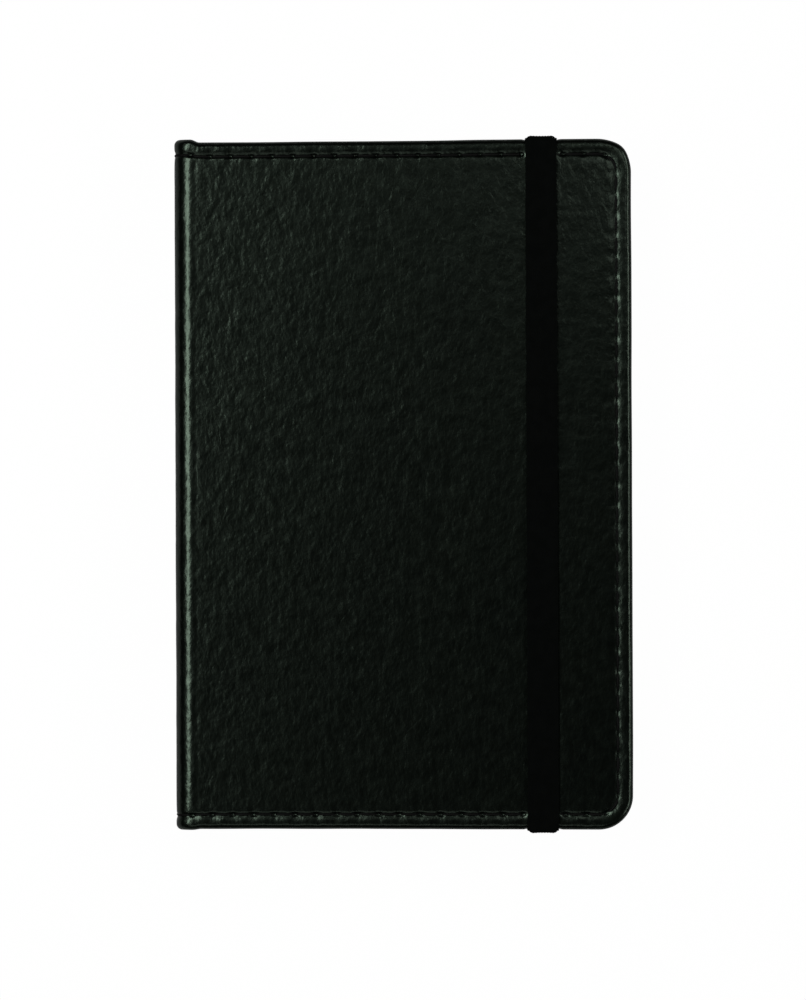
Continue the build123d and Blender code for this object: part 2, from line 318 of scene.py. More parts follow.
def under_band(x, y, front):
    """1 where the elastic presses on the leather, 0 away from it."""
    beside = 1 - smooth(BAND_HALF + 0.1 * MM, BAND_HALF + 0.75 * MM, np.abs(x - BAND_X))
    if front:
        return beside
    return beside * smooth(CHANNEL_END - 0.4 * MM, CHANNEL_END + 0.2 * MM, np.abs(y))


def edge_shift(s, y, inset, front):
    """How far the leather near an edge stands out from straight lines, as (along s, along y).

    The sums are in millimetres.  full rounds out the front cover's head corner.
    """
    x = (s - JOINT_S + JOINT_X) / MM
    head = y > 0
    near = 1 - smooth(0.5 * MM, 6.5 * MM, inset)
    folded = 1 - smooth(0.0, 1.9, (s - JOINT_S) / MM)
    taper = -0.33 + 0.14 * smooth(-35, -5, x) + 0.18 * smooth(-5, 20, x) + 0.12 * smooth(20, 38, x)
    cap = np.where(head, HEAD_CAP / MM, HEAD_CAP / MM * 0.35) * folded
    wave = 0.05 * ripple(s, np.sign(y), 9 * MM, 31 if front else 32)
    pinch = -0.16 * under_band(x * MM, np.full(x.shape, EDGE_Y), True)
    full = 0.0
    if front:
        from_x = x - (FORE_X - CORNER_R) / MM
        from_y = y / MM - (EDGE_Y - CORNER_R) / MM
        full = 0.34 * bell(from_x - 4.6, 2.6) * bell(from_y - 4.6, 2.6)
    beside = smooth(EDGE_Y / MM - 9, EDGE_Y / MM - 6, np.abs(y) / MM)
    end = (taper + cap + wave + pinch) * near * beside + full
    fore = (0.05 * ripple(y, 0 * y, 12 * MM, 33) + 0.06) * near * smooth(30, 42, x) + full
    return fore * MM, np.sign(y) * end * MM


def leather_surface(s, y, drop, travel, inset, front):
    """Where a point of the flat pattern ends up: its place on the flat, and its lift."""
    s, y, drop, travel, inset = np.broadcast_arrays(s, y, drop, travel, inset)
    x = s - JOINT_S + JOINT_X
    outside = 1 - smooth(0, 0.5 * MM, -drop)
    relief = leather_relief(s, y, front) + seam_relief(travel, inset) + joint_relief(s, y)
    if front:
        relief = relief + lumps(x, y)
    pressed = under_band(x, y, front)
    if front:
        lift = drop + relief * outside * (1 - pressed) - 0.02 * MM * pressed
    else:
        channel = np.where(drop > -UNDERSIDE, np.minimum(drop, -CHANNEL_DEPTH), drop)
        lift = (drop + relief * outside) * (1 - pressed) + channel * pressed
    shift_s, shift_y = edge_shift(s, y, inset, front)
    return np.stack([s + shift_s, y + shift_y, lift], axis=-1)


def case_leather(name, front):
    """Half of the case's leather: one cover, its joint and the near half of the spine."""
    columns = STITCHES * COLUMNS_PER_STITCH
    travel = np.arange(columns + 1) * STITCH / COLUMNS_PER_STITCH
    side_columns = round((SEAM_STRAIGHT + SEAM_ARC / 2) / STITCH * COLUMNS_PER_STITCH)
    pieces = []

    def add(s, y, drop, along, inset):
        """Add shaped points and return their numbers, in the shape of the arrays given."""
        made = leather_surface(s, y, drop, along, inset, front)
        start = sum(len(p) for p in pieces)
        pieces.append(made.reshape(-1, 3))
        return np.arange(start, start + made.size // 3).reshape(made.shape[:-1])

    # Middle panel
    panel_x = np.linspace(JOINT_X, FORE_X - PANEL_INSET, side_columns + 1)
    panel_y = np.linspace(-1, 1, columns - 2 * side_columns + 1) * (EDGE_Y - PANEL_INSET)
    px, py = np.meshgrid(panel_x, panel_y, indexing="ij")
    panel = add(flat_of(px), py, 0.0, 0.0, BEYOND_SEAM)

    # Border, from the panel out over the edge and round the turn-in
    around = np.concatenate([panel[:, 0], panel[-1, 1:-1], panel[::-1, -1]])
    around_x = np.concatenate([px[:, 0], px[-1, 1:-1], px[::-1, -1]])
    around_y = np.concatenate([py[:, 0], py[-1, 1:-1], py[::-1, -1]])
    rows = edge_rows()
    first_x, first_y = rim(travel, rows[0][0])
    ring = [around]
    ring_y = [around_y]
    profile_rows = []
    for share in PANEL_SHARES:
        x = around_x + (first_x - around_x) * share
        y = around_y + (first_y - around_y) * share
        inset = rows[0][0] + (1 - share) * 4 * MM
        profile_rows.append((inset, 0.0))
        ring.append(add(flat_of(x), y, 0.0, travel, inset))
        ring_y.append(y)
    for inset, drop in rows:
        x, y = rim(travel, inset)
        profile_rows.append((inset, drop))
        ring.append(add(flat_of(x), y, drop, travel, inset))
        ring_y.append(y)
    ring = np.stack(ring, axis=1)
    ring_y = np.stack(ring_y, axis=1)

    # Joint and half the spine: the edge profile and the panel's side carried round
    profile = np.concatenate([ring[0, :0:-1], panel[0, :], ring[-1, 1:]])
    profile_y = np.concatenate([ring_y[0, :0:-1], panel_y, ring_y[-1, 1:]])
    insets, drops = np.array(profile_rows).T
    insets = np.concatenate([insets[::-1], np.full(len(panel_y), BEYOND_SEAM), insets])
    drops = np.concatenate([drops[::-1], np.zeros(len(panel_y)), drops])
    sheet = [profile]
    round_joint = np.linspace(JOINT_S, HALF_SPINE, JOINT_STEPS + 1)[1:]
    down_spine = np.linspace(HALF_SPINE, 0, SPINE_STEPS + 1)[1:]
    for s in np.concatenate([round_joint, down_spine]):
        along = (s - JOINT_S) / JOINT_ARC if s > HALF_SPINE else -1 - (HALF_SPINE - s) / HALF_SPINE
        depth = JOINT_FOLD + SPINE_FOLD * smooth(HALF_SPINE + 1 * MM, HALF_SPINE, s)
        depth = depth + (COVER - JOINT_FOLD) * smooth(JOINT_S - 1.5 * MM, JOINT_S, s)
        squeeze = (depth - OUTER_ROUND) / (COVER - OUTER_ROUND)
        thinned = np.where(drops < -OUTER_ROUND, -OUTER_ROUND + (drops + OUTER_ROUND) * squeeze, drops)
        sheet.append(add(s, profile_y, thinned, along * STITCH, insets))
    sheet = np.stack(sheet, axis=1)

    flat = np.concatenate(pieces)
    points = wrap(flat[:, 0], flat[:, 1], flat[:, 2], front)
    # The border's columns run the other way round from the panel's
    faces = [tuple(f) for f in grid_quads(panel, flip=not front)]
    faces += [tuple(f) for f in grid_quads(ring, flip=front)]
    faces += [tuple(f) for f in grid_quads(sheet, flip=not front)]
    # Underside: one face below the cover, a strip below the joint, and an end at mid spine
    strip = np.stack([sheet[-1], sheet[0]])
    faces += [tuple(f) for f in grid_quads(strip, flip=not front)]
    under = tuple(ring[:, -1])
    end = tuple(sheet[:, -1])
    faces.append(under if not front else under[::-1])
    faces.append(end if not front else end[::-1])
    signed = flat * ((1, 1, 1) if front else (-1, 1, 1))
    return make_mesh(name, points, faces, signed)


# ---- Seam thread ----

THREAD_WIDTH = 0.62 * MM
THREAD_TURNS = 2.6  # turns of the two plies in one stitch
THREAD_SIDES = 10
STITCH_STEPS = 13


def thread_stitch(path):
    """One twisted stitch along an array of flat points (s, y, lift)."""
    tangent = np.gradient(path, axis=0)
    tangent /= np.linalg.norm(tangent, axis=1)[:, None]
    across = np.stack([-tangent[:, 1], tangent[:, 0], np.zeros(len(path))], axis=1)
    across /= np.linalg.norm(across, axis=1)[:, None]
    up = np.cross(tangent, across)
    along = np.linspace(0, 1, len(path))
    taper = 0.55 + 0.45 * np.sin(np.pi * along) ** 0.5
    rings = []
    for step in range(THREAD_SIDES):
        angle = 2 * math.pi * step / THREAD_SIDES
        ply = 1 + 0.16 * np.cos(2 * (angle - THREAD_TURNS * 2 * math.pi * along))
        radius = (THREAD_WIDTH / 2 * taper * ply)[:, None]
        rings.append(path + radius * (math.cos(angle) * across + math.sin(angle) * up * 0.8))
    return np.stack(rings, axis=1)


def seam_thread(name, paths, front):
    """Stitches as one piece, each along its own array of flat points."""
    points, flats, faces = [], [], []
    count = 0
    for path in paths:
        rings = thread_stitch(path)
        ring_points = rings.reshape(-1, 3)
        points.append(wrap(ring_points[:, 0], ring_points[:, 1], ring_points[:, 2], front))
        flats.append(ring_points)
        faces.append(tube_faces(len(path), THREAD_SIDES, count))
        count += len(ring_points)
    piece = make_mesh(name, np.concatenate(points), np.concatenate(faces), np.concatenate(flats))
    close_ends(piece)
    return piece


def stitch_path(low, high, place, front):
    """Flat centreline of a stitch between two needle holes."""
    t = np.linspace(0, 1, STITCH_STEPS)
    s, y = place(low + (high - low) * (0.07 + 0.86 * t))
    shift_s, shift_y = edge_shift(s, y, np.full(STITCH_STEPS, SEAM_INSET), front)
    sink = -0.22 * MM - 0.34 * MM * (1 - np.sin(np.pi * t) ** 0.4)
    return np.stack([s + shift_s, y + shift_y, sink], axis=1)


def on_cover(travel):
    """Flat place of a point on a cover's seam."""
    x, y = rim(travel, SEAM_INSET)
    return flat_of(x), y


def cover_stitches(front):
    """Flat paths of a cover's stitches, but for those under the band's channel at the back."""
    paths = []
    for number in range(STITCHES):
        low, high = number * STITCH, (number + 1) * STITCH
        middle_x, _ = rim((low + high) / 2, SEAM_INSET)
        if front or abs(middle_x - BAND_X) > BAND_HALF + 1.2 * MM:
            paths.append(stitch_path(low, high, on_cover, front))
    return paths


def straight_stitch(low, high, side, front=True):
    """A stitch across the joint or the spine, at the head (side 1) or the tail (side -1)."""
    seam_y = side * (EDGE_Y - SEAM_INSET)
    return stitch_path(low, high, lambda s: (s, np.full(len(s), seam_y)), front)


# ---- Leaves ----

PAGE_CORNER = 6.0 * MM
# Millimetres from the fold at which a leaf has points, closest where it bends as the book opens
LEAF_STEPS = (0, 0.7, 1.5, 2.4, 3.4, 4.5, 5.8, 7.2, 8.8, 10.6, 12.6, 15, 18, 23, 32, 45, 60, 73)
LEAF_CORNER_STEPS = 7
LEAF_FORE_STEPS = 24


def leaf_outline(low, high, corner):
    """Outline of a leaf from the tail's spine end, round the fore edge, to the head's."""
    x0, y0, x1, y1 = low.x, low.y, high.x, high.y
    xs = [x0 + d * MM for d in LEAF_STEPS if x0 + d * MM < x1 - corner - 1 * MM] + [x1 - corner]
    points = [(x, y0) for x in xs]
    for angle in np.linspace(-math.pi / 2, 0, LEAF_CORNER_STEPS + 1)[1:]:
        points.append((x1 - corner + corner * math.cos(angle), y0 + corner + corner * math.sin(angle)))
    for share in np.linspace(0, 1, LEAF_FORE_STEPS)[1:-1]:
        points.append((x1, y0 + corner + share * (y1 - y0 - 2 * corner)))
    points += [(x, -y) for x, y in reversed(points[: len(xs) + LEAF_CORNER_STEPS])]
    return np.array(points)


def sheaf(name, low, high, corner, leaves, jitter, seed):
    """A stack of leaves folded at the spine, as one closed block with each leaf's edge cut in."""
    outline = leaf_outline(low, high, corner)
    rng = np.random.default_rng(seed)
    # The way out of the leaf at each point of its outline
    x, y = outline.T
    out_x = np.where(x >= high.x - corner - 1e-9, x - (high.x - corner), 0.0)
    out_y = np.where(np.abs(y) > high.y - corner, y - np.sign(y) * (high.y - corner), 0.0)
    toward = np.stack([out_x, out_y], axis=1)
    toward /= np.maximum(np.linalg.norm(toward, axis=1), 1e-9)[:, None]
    pitch = (high.z - low.z) / leaves
    levels = []
    for leaf in range(leaves):
        out = -abs(rng.normal(0, jitter))
        base = low.z + leaf * pitch
        if leaf == 0:
            levels.append((base, out - 0.03 * MM))
        levels.append((base + 0.25 * pitch, out))
        levels.append((base + 0.80 * pitch, out))
        levels.append((base + pitch, out - 0.05 * MM))
    rows = []
    for z, out in levels:
        ring = outline + toward * out
        rows.append(np.column_stack([ring, np.full(len(ring), z)]))
    side = np.stack(rows, axis=1)
    count, height = side.shape[:2]
    points = side.reshape(-1, 3)
    index = np.arange(count * height).reshape(count, height)
    faces = [tuple(f) for f in grid_quads(index)]
    # Top and bottom: strips between the tail's and the head's points of equal rank
    for level, flip in ((0, True), (height - 1, False)):
        for rank in range(count // 2):
            mirror_rank = count - 1 - rank
            if mirror_rank - 1 <= rank:
                break
            quad = [index[k, level] for k in (rank, rank + 1, mirror_rank - 1, mirror_rank)]
            quad = tuple(dict.fromkeys(quad))
            faces.append(quad[::-1] if flip else quad)
    # Fold
    for level in range(height - 1):
        faces.append((index[0, level], index[0, level + 1], index[-1, level + 1], index[-1, level]))
    return make_mesh(name, points, faces, points, smooth_shading=False)


# ---- Elastic band ----

BAND_COLUMNS = 67
BAND_RIBS = 11


def band_route():
    """Outer face of the band in the YZ plane: from the head's slit, over the front, to the tail's."""
    out_y, top, bottom = run_high.y, run_high.z, anchor_low.z
    bend = 0.75 * MM  # radius round the covers' edges
    dive = 0.55 * MM  # radius into the slit
    start = CHANNEL_END + 0.1 * MM
    route = [(start, z) for z in (2.2 * MM, 1.8 * MM, 1.4 * MM, 1.0 * MM)]
    for angle in np.linspace(math.pi, math.pi * 1.5, 6):
        route.append((start + dive + dive * math.cos(angle), bottom + dive + dive * math.sin(angle)))
    run = out_y - bend - start - dive
    route += [(start + dive + run * t, bottom) for t in np.linspace(0, 1, 14)[1:]]
    for angle in np.linspace(-math.pi / 2, 0, 8)[1:]:
        route.append((out_y - bend + bend * math.cos(angle), bottom + bend + bend * math.sin(angle)))
    low_end, high_end = bottom + bend, top - bend
    route += [(out_y, z) for z in np.arange(low_end + 0.3 * MM, high_end - 0.1 * MM, 0.35 * MM)]
    for angle in np.linspace(0, math.pi / 2, 9):
        route.append((out_y - bend + bend * math.cos(angle), top - bend + bend * math.sin(angle)))
    route += [(y, top) for y in np.linspace(out_y - bend, 0, 60)[1:]]
    route += [(-y, z) for y, z in reversed(route[:-1])]
    return np.array(route)


def band_piece(name, first, last):
    """A stretch of the band's route, as a closed ribbed strip."""
    whole = band_route()
    route = whole[first:last]
    tangent = np.gradient(whole, axis=0)
    tangent /= np.linalg.norm(tangent, axis=1)[:, None]
    inward = np.stack([-tangent[:, 1], tangent[:, 0]], axis=1)[first:last]
    steps = np.linalg.norm(np.diff(whole, axis=0), axis=1)
    lengths = np.concatenate([[0], np.cumsum(steps)])[first:last]
    across = np.linspace(-1, 1, BAND_COLUMNS)
    ribs = 0.5 + 0.5 * np.cos(across * math.pi * BAND_RIBS)
    points, flats = [], []
    for (y, z), (ny, nz), length in zip(route, inward, lengths):
        turned = smooth(EDGE_Y - 1.2 * MM, EDGE_Y + 0.3 * MM, abs(y))
        behind = 1 - smooth(0.8 * MM, 2.0 * MM, z)
        rounded = (0.10 + 0.34 * turned) * smooth(0.70, 1.0, np.abs(across)) ** (2 - turned)
        puffed = 0.05 * bell(np.abs(across) - 0.62, 0.2) * turned
        outer = -(0.015 + 0.055 * ribs + rounded - puffed) * MM
        thick = BAND_THICK - 0.14 * MM * behind
        inner = np.full(len(across), -thick + 0.02 * MM)
        inner[[0, -1]] += 0.10 * MM
        shape_x = np.concatenate([across, across[::-1]]) * (BAND_HALF + 0.05 * MM * turned)
        depth = -np.concatenate([outer, inner])
        edge_wave = 1 + 0.006 * math.sin(length / (3.1 * MM)) + 0.004 * math.sin(length / (1.3 * MM))
        points.append(np.column_stack([BAND_X + shape_x * edge_wave, y + ny * depth, z + nz * depth]))
        flats.append(np.column_stack([shape_x, np.full(len(shape_x), length), depth]))
    points = np.concatenate(points)
    faces = tube_faces(len(route), len(across) * 2, 0)
    piece = make_mesh(name, points, faces, np.concatenate(flats))
    close_ends(piece)
    return piece


# ---- Materials ----


class Nodes:
    """A material's node tree, written as short calls."""

    def __init__(self, name):
        self.material = bpy.data.materials.new(name)
        self.material.use_nodes = True
        self.tree = self.material.node_tree
        self.shader = self.tree.nodes["Principled BSDF"]

    def put(self, value, socket):
        """Link a socket to another node's output, or set its value."""
        if isinstance(value, bpy.types.NodeSocket):
            self.tree.links.new(value, socket)
        else:
            socket.default_value = value

    def node(self, kind, inputs=(), **settings):
        made = self.tree.nodes.new(kind)
        for key, value in settings.items():
            setattr(made, key, value)
        for key, value in dict(inputs).items():
            self.put(value, made.inputs[key])
        return made

    def flat(self):
        """Place on the piece as laid out flat, in millimetres."""
        return self.node("ShaderNodeAttribute", attribute_name="flat").outputs["Vector"]

    def place(self):
        """Place in the object's own metres."""
        return self.node("ShaderNodeTexCoord").outputs["Object"]

    def scaled(self, vector, scale):
        return self.node("ShaderNodeVectorMath", {0: vector, 1: scale}, operation="MULTIPLY").outputs[0]

    def noise(self, vector, scale, detail=2.0, rough=0.5):
        values = {"Vector": vector, "Scale": scale, "Detail": detail, "Roughness": rough}
        return self.node("ShaderNodeTexNoise", values).outputs["Fac"]

    def cells(self, vector, scale):
        """Distance to the nearest edge between random cells."""
        values = {"Vector": vector, "Scale": scale}
        return self.node("ShaderNodeTexVoronoi", values, feature="DISTANCE_TO_EDGE").outputs["Distance"]

    def math(self, operation, a, b=0.0):
        return self.node("ShaderNodeMath", {0: a, 1: b}, operation=operation).outputs[0]

    def ramp(self, value, low, high, to_low=0.0, to_high=1.0):
        """A smooth step from to_low at low to to_high at high."""
        made = self.node("ShaderNodeMapRange", {0: value, 1: low, 2: high, 3: to_low, 4: to_high})
        made.interpolation_type = "SMOOTHSTEP"
        return made.outputs[0]

    def mix(self, share, a, b):
        made = self.node("ShaderNodeMix", data_type="RGBA")
        self.put(share, made.inputs[0])
        self.put(a, made.inputs[6])
        self.put(b, made.inputs[7])
        return made.outputs[2]

    def bump(self, height, distance, strength=1.0):
        values = {"Height": height, "Distance": distance, "Strength": strength}
        return self.node("ShaderNodeBump", values).outputs[0]

    def finish(self, **values):
        """Set the shader's inputs, named with _ for a space, and return the material."""
        for key, value in values.items():
            self.put(value, self.shader.inputs[key.replace("_", " ")])
        return self.material


def leather_material():
    """Near-black smooth leatherette: fine pebbles, upright creases, glossy wax finish."""
    n = Nodes("black_leatherette")
    flat = n.flat()
    grain = n.noise(n.scaled(flat, (1.0, 0.7, 1.0)), 0.75, 2.0, 0.5)
    pebble = n.ramp(n.cells(n.scaled(flat, (1.0, 0.85, 1.0)), 0.85), 0.0, 0.35)
    winding = {"Vector": flat, "Scale": 0.22, "Detail": 2.0}
    wander = n.node("ShaderNodeTexNoise", winding).outputs["Color"]
    upright = n.scaled(flat, (1.0, 0.42, 1.0))
    strayed = {0: upright, 1: n.scaled(wander, (5, 5, 5))}
    crack_place = n.node("ShaderNodeVectorMath", strayed, operation="ADD").outputs[0]
    crack = n.ramp(n.cells(crack_place, 0.17), 0.0, 0.045)
    crack_where = n.ramp(n.noise(flat, 0.07, 1.0), 0.50, 0.62)
    crack_cut = n.math("MULTIPLY", n.math("SUBTRACT", crack, 1.0), crack_where)
    height = n.math("ADD", n.math("MULTIPLY", pebble, 0.07), grain)
    height = n.math("ADD", height, n.math("MULTIPLY", crack_cut, 0.07))
    normal = n.bump(height, 0.100 * MM, 1.0)
    rough = n.ramp(n.noise(flat, 0.35, 3.0, 0.6), 0.3, 0.7, 0.24, 0.28)
    slow = n.ramp(n.noise(flat, 0.045, 3.0, 0.55), 0.35, 0.65)
    tint = n.mix(slow, (0.0004, 0.0005, 0.0005, 1), (0.0007, 0.0009, 0.0007, 1))
    return n.finish(Base_Color=tint, Roughness=rough, Normal=normal, Specular_IOR_Level=0.5,
                    Specular_Tint=(0.77, 1.0, 0.79, 1))


def thread_material():
    """Waxed black polyester thread."""
    n = Nodes("black_seam_thread")
    flat = n.flat()
    fuzz = n.noise(n.scaled(flat, (6.0, 6.0, 6.0)), 1.0, 3.0)
    return n.finish(Base_Color=(0.0018, 0.0018, 0.0016, 1), Roughness=0.6, Specular_IOR_Level=0.1,
                    Normal=n.bump(fuzz, 0.05 * MM, 0.6))


def elastic_material():
    """Matt black woven elastic with fine ribs along it and a weave across."""
    n = Nodes("black_elastic")
    flat = n.flat()
    split = n.node("ShaderNodeSeparateXYZ", {0: flat})
    # Radians per millimetre
    weave = n.math("SINE", n.math("MULTIPLY", split.outputs[1], 9.0))
    cords = n.math("SINE", n.math("MULTIPLY", split.outputs[0], 18.0))
    fuzz = n.noise(flat, 5.0, 2.0)
    height = n.math("ADD", n.math("MULTIPLY", n.math("MULTIPLY", weave, cords), 0.5), fuzz)
    patches = n.ramp(n.noise(flat, 0.4, 2.0), 0.35, 0.65)
    tone = n.mix(patches, (0.0010, 0.0015, 0.0012, 1), (0.0016, 0.0021, 0.0018, 1))
    return n.finish(Base_Color=tone, Roughness=0.9, Specular_IOR_Level=0.06,
                    Normal=n.bump(height, 0.05 * MM, 0.8))


def page_material():
    """Ivory writing paper: faint fibres, pale ruled lines on the faces, fine lines on the edges."""
    n = Nodes("ivory_paper")
    flat = n.flat()
    split = n.node("ShaderNodeSeparateXYZ", {0: flat})
    fibre = n.noise(n.scaled(flat, (1.0, 0.6, 1.0)), 1.6, 4.0, 0.65)
    edge_noise = n.noise(n.scaled(flat, (0.08, 0.08, 10.5)), 1.0, 3.0, 0.7)
    up = split.outputs[1]
    pitch, lowest, highest = 6.0, -61.0, 58.0  # of the ruled lines, in millimetres
    rule = n.math("ABSOLUTE", n.math("SUBTRACT", n.math("FRACT", n.math("DIVIDE", up, pitch)), 0.5))
    line = n.ramp(rule, 0.010, 0.022, 1.0, 0.0)
    below, above = n.ramp(up, lowest, lowest + 0.1), n.ramp(up, highest, highest + 0.1, 1.0, 0.0)
    inside = n.math("MULTIPLY", below, above)
    line = n.math("MULTIPLY", line, inside)
    paper = n.mix(fibre, (0.70, 0.645, 0.51, 1), (0.78, 0.73, 0.60, 1))
    ruled = n.mix(n.math("MULTIPLY", line, 0.45), paper, (0.36, 0.40, 0.44, 1))
    edge = n.mix(n.ramp(edge_noise, 0.35, 0.65), (0.60, 0.54, 0.42, 1), (0.78, 0.73, 0.60, 1))
    face_up = n.node("ShaderNodeAttribute", attribute_name="face_up").outputs["Fac"]
    colour = n.mix(n.ramp(face_up, 0.4, 0.6), edge, ruled)
    height = n.math("ADD", n.math("MULTIPLY", fibre, 0.6), n.math("MULTIPLY", edge_noise, 0.8))
    return n.finish(Base_Color=colour, Roughness=0.85, Specular_IOR_Level=0.25,
                    Normal=n.bump(height, 0.03 * MM, 0.5))


def endpaper_material():
    """Heavier ivory paper of the pastedowns and flyleaves."""
    n = Nodes("ivory_endpaper")
    flat = n.flat()
    fibre = n.noise(n.scaled(flat, (1.0, 0.5, 1.0)), 1.1, 5.0, 0.7)
    colour = n.mix(n.ramp(fibre, 0.3, 0.7), (0.66, 0.60, 0.47, 1), (0.75, 0.69, 0.56, 1))
    return n.finish(Base_Color=colour, Roughness=0.8, Specular_IOR_Level=0.3,
                    Normal=n.bump(fibre, 0.05 * MM, 0.5))


def plain_material(name, dark, light, scale, rough, bump, stretch=(1, 1, 1)):
    """A fibrous material for a piece inside the case, from its place in object coordinates."""
    n = Nodes(name)
    place = n.scaled(n.place(), tuple(1000 * k for k in stretch))
    fibre = n.noise(place, scale, 4.0, 0.65)
    return n.finish(Base_Color=n.mix(n.ramp(fibre, 0.3, 0.7), dark, light), Roughness=rough,
                    Normal=n.bump(fibre, bump, 0.7))


def mull_material():
    """Open-weave cloth glued over the folds."""
    n = Nodes("mull_cloth")
    split = n.node("ShaderNodeSeparateXYZ", {0: n.scaled(n.place(), (1000, 1000, 1000))})
    across = n.math("ABSOLUTE", n.math("SINE", n.math("MULTIPLY", split.outputs[1], 5.2)))
    up = n.math("ABSOLUTE", n.math("SINE", n.math("MULTIPLY", split.outputs[2], 5.2)))
    weave = n.math("MAXIMUM", across, up)
    colour = n.mix(weave, (0.30, 0.26, 0.19, 1), (0.72, 0.69, 0.60, 1))
    return n.finish(Base_Color=colour, Roughness=0.9, Normal=n.bump(weave, 0.08 * MM, 0.8))


def headband_material():
    """Black and grey woven stripes of the headbands."""
    n = Nodes("headband_cloth")
    split = n.node("ShaderNodeSeparateXYZ", {0: n.flat()})
    stripe = n.ramp(n.math("SINE", n.math("MULTIPLY", split.outputs[2], 2 * math.pi / 1.1)), -0.25, 0.25)
    fuzz = n.noise(n.flat(), 4.0, 3.0)
    colour = n.mix(stripe, (0.010, 0.011, 0.010, 1), (0.42, 0.40, 0.36, 1))
    return n.finish(Base_Color=colour, Roughness=0.75, Normal=n.bump(fuzz, 0.06 * MM, 0.6),
                    Sheen_Weight=0.2)


leather_black = leather_material()
thread_black = thread_material()
elastic_black = elastic_material()
paper = page_material()
end_paper = endpaper_material()
card = plain_material("grey_board", (0.20, 0.17, 0.13, 1), (0.32, 0.28, 0.22, 1),
                      scale=1.4, rough=0.9, bump=0.06 * MM)
kraft = plain_material("kraft_lining", (0.25, 0.17, 0.09, 1), (0.36, 0.26, 0.15, 1),
                       scale=1.8, rough=0.85, bump=0.04 * MM, stretch=(1, 0.3, 1))
linen = plain_material("linen_thread", (0.60, 0.56, 0.46, 1), (0.75, 0.72, 0.62, 1),
                       scale=5.0, rough=0.8, bump=0.05 * MM)
mull = mull_material()
headband_cloth = headband_material()

# ---- Build: case ----


def across_joint(piece):
    """Bake a piece's transform into its points; it was built already wrapped from the spine onto a
    cover, over the rounded joint.
    """
    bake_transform(piece)


for front, cover_body, side_name in ((True, "front_cover", "front"), (False, "back_cover", "back")):
    joint_name = "front" if front else "rear"
    skin = case_leather(f"{side_name}_case_leather", front)
    dress(skin, leather_black)
    nodes = [f"{side_name}_cover_leather", f"{joint_name}_joint_leather"]
    if front:
        nodes.append("spine_leather")
    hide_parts(*nodes)
    across_joint(skin)

    border = seam_thread(f"{side_name}_border_thread", cover_stitches(front), front)
    dress(border, thread_black)
    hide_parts(f"{side_name}_border_stitching")
    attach(border, cover_body)

    crossing = [straight_stitch(HALF_SPINE, JOINT_S, side, front) for side in (-1, 1)]
    joint_thread = seam_thread(f"{side_name}_joint_thread", crossing, front)
    dress(joint_thread, thread_black)
    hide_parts(f"{joint_name}_joint_stitching")
    across_joint(joint_thread)

spine_paths = [
    straight_stitch(low, low + HALF_SPINE, side) for side in (-1, 1) for low in (-HALF_SPINE, 0)
]
spine_thread = seam_thread("spine_thread", spine_paths, True)
dress(spine_thread, thread_black)
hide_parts("spine_stitching")
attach(spine_thread, "spine")

for node, material in (
    ("front_board", card),
    ("back_board", card),
    ("spine_board", card),
    ("spine_lining", kraft),
    ("spine_mull", mull),
    ("binding_thread", linen),
):
    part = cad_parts[node]
    part.data.materials.clear()
    part.data.materials.append(material)

# ---- Build: text block ----

SIGNATURES = 12
LEAVES = 8
LEAF_JITTER = 0.05 * MM
PASTEDOWN = 0.4 * MM
FLYLEAF = 0.15 * MM


def mark_faces_up(piece):
    """Mark the faces that lie flat, which carry the ruling."""
    layer = piece.data.attributes.new("face_up", "FLOAT", "FACE")
    values = [1.0 if abs(f.normal.z) > 0.7 else 0.0 for f in piece.data.polygons]
    layer.data.foreach_set("value", values)


for number in range(1, SIGNATURES + 1):
    node = f"signature_{number:02d}"
    low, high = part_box(node)
    sheets = sheaf(f"leaves_{number:02d}", low, high, PAGE_CORNER, LEAVES, LEAF_JITTER, number)
    mark_faces_up(sheets)
    dress(sheets, paper)
    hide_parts(node)
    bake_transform(sheets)

for side_name, cover_body in (("front", "front_cover"), ("back", "back_cover")):
    low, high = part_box(f"{side_name}_endpaper")
    if side_name == "front":
        paste_z = (high.z - PASTEDOWN, high.z)
        fly_z = (low.z, low.z + FLYLEAF)
    else:
        paste_z = (low.z, low.z + PASTEDOWN)
        fly_z = (high.z - FLYLEAF, high.z)
    margin = LEATHER + TURN_IN
    paste = sheaf(f"{side_name}_pastedown", Vector((low.x, -EDGE_Y + margin, paste_z[0])),
                  Vector((FORE_X - margin, EDGE_Y - margin, paste_z[1])), CORNER_R - margin, 1, 0.0, 40)
    dress(paste, end_paper)
    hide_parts(f"{side_name}_endpaper")
    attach(paste, cover_body)
    fly = sheaf(f"{side_name}_flyleaf", Vector((low.x, low.y, fly_z[0])),
                Vector((high.x, high.y, fly_z[1])), PAGE_CORNER, 1, 0.0, 41)
    dress(fly, end_paper)
    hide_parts(f"{side_name}_endpaper")
    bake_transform(fly)


